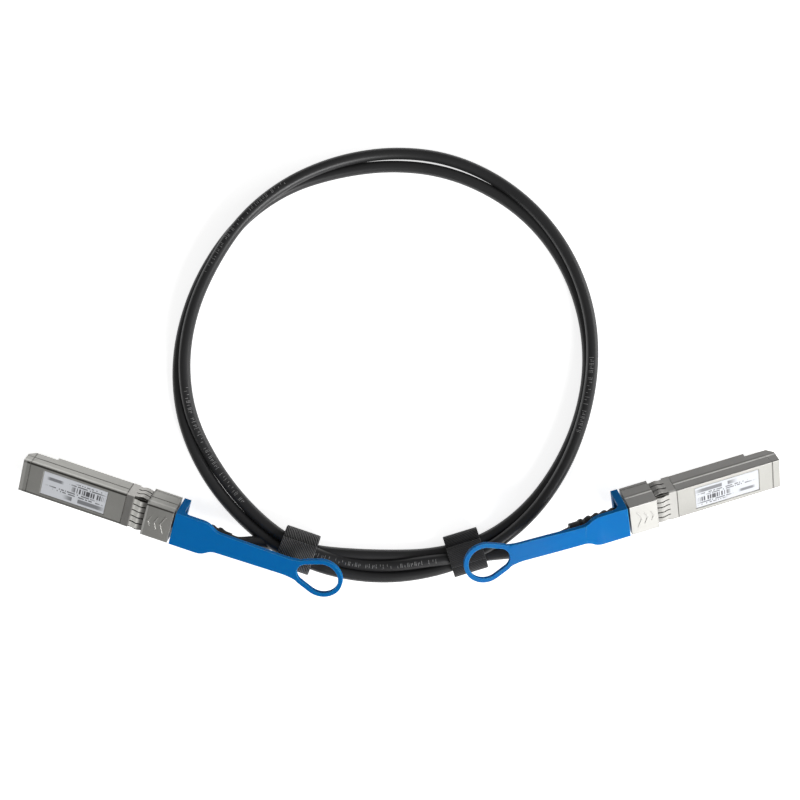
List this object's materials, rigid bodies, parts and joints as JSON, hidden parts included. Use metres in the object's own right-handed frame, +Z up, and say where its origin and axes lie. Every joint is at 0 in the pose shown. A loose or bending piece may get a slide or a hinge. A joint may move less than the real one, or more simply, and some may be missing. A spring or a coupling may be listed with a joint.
{
  "type": "direct attach copper cable",
  "caption": "Coiled network cable with a metal pluggable plug, sprung pull tab and release latch at each end, held in hook-and-loop ties.",
  "frame": {"origin": "on the table, below the middle of the box round the two plugs", "axes": "+Z up from the table, +X from the left plug towards the right plug, +Y towards the coil"},
  "size_m": [0.2785, 0.1634, 0.025],
  "materials": {
    "shell_metal": "satin nickel plated zinc casting",
    "collar_steel": "bright nickel plated spring steel",
    "tab_plastic": "blue flexible moulded plastic",
    "latch_steel": "plain stainless steel",
    "spring_steel": "blued spring strip",
    "board_laminate": "green solder mask",
    "pad_gold": "gold flash",
    "chip_plastic": "moulded black epoxy",
    "capacitor_ceramic": "fired ceramic with tinned ends",
    "wire_foil": "foil wrapped pairs",
    "cable_jacket": "satin black jacket",
    "crimp_brass": "plain brass",
    "boot_rubber": "matt black moulded boot",
    "label_film": "satin printed film",
    "tie_fabric": "black woven hook and loop",
    "rivet_steel": "plain pressed steel"
  },
  "bodies": {
    "cable_assembly": {"left_lower_shell": "shell_metal", "left_upper_shell": "shell_metal", "left_spring_collar": "collar_steel", "left_latch_pin": "latch_steel", "left_latch_spring": "spring_steel", "left_circuit_board": "board_laminate", "left_contact_pads": "pad_gold", "left_memory_chip": "chip_plastic", "left_capacitors": "capacitor_ceramic", "left_wire_pairs": "wire_foil", "left_jacket_end": "cable_jacket", "left_crimp_ring": "crimp_brass", "left_strain_relief": "boot_rubber", "left_label": "label_film", "left_shell_rivets": "rivet_steel", "left_cable_tail": "cable_jacket", "right_lower_shell": "shell_metal", "right_upper_shell": "shell_metal", "right_spring_collar": "collar_steel", "right_latch_pin": "latch_steel", "right_latch_spring": "spring_steel", "right_circuit_board": "board_laminate", "right_contact_pads": "pad_gold", "right_memory_chip": "chip_plastic", "right_capacitors": "capacitor_ceramic", "right_wire_pairs": "wire_foil", "right_jacket_end": "cable_jacket", "right_crimp_ring": "crimp_brass", "right_strain_relief": "boot_rubber", "right_label": "label_film", "right_shell_rivets": "rivet_steel", "right_cable_tail": "cable_jacket", "cable_coil": "cable_jacket", "left_cable_tie": "tie_fabric", "right_cable_tie": "tie_fabric"},
    "left_tab": {"left_pull_tab": "tab_plastic"},
    "left_latch": {"left_latch_arm": "latch_steel"},
    "right_tab": {"right_pull_tab": "tab_plastic"},
    "right_latch": {"right_latch_arm": "latch_steel"}
  },
  "joints": [
    {"name": "left_tab_slide", "type": "slide", "parent": "cable_assembly", "child": "left_tab", "axis": [0.9482, -0.3173, 0.0175], "range_m": [0, 0.0025], "stiffness_N_per_m": 1500, "springref_m": -0.0005},
    {"name": "left_latch_turn", "type": "hinge", "parent": "cable_assembly", "child": "left_latch", "pos_m": [-0.08899, 0.00557, 0.00438], "axis": [0.2738, 0.8437, 0.4617], "range_deg": [0, 7.44], "deforming": ["left_latch_spring"]},
    {"name": "right_tab_slide", "type": "slide", "parent": "cable_assembly", "child": "right_tab", "axis": [-0.9562, -0.282, 0.0785], "range_m": [0, 0.0025], "stiffness_N_per_m": 1500, "springref_m": -0.0005},
    {"name": "right_latch_turn", "type": "hinge", "parent": "cable_assembly", "child": "right_latch", "pos_m": [0.09013, 0.00911, 0.00736], "axis": [0.1725, -0.7594, -0.6274], "range_deg": [0, 7.44], "deforming": ["right_latch_spring"]}
  ],
  "couplings": [
    {"joint": "left_latch_turn", "follows": "left_tab_slide", "rad_per_m": 43.283},
    {"joint": "right_latch_turn", "follows": "right_tab_slide", "rad_per_m": 43.283}
  ]
}
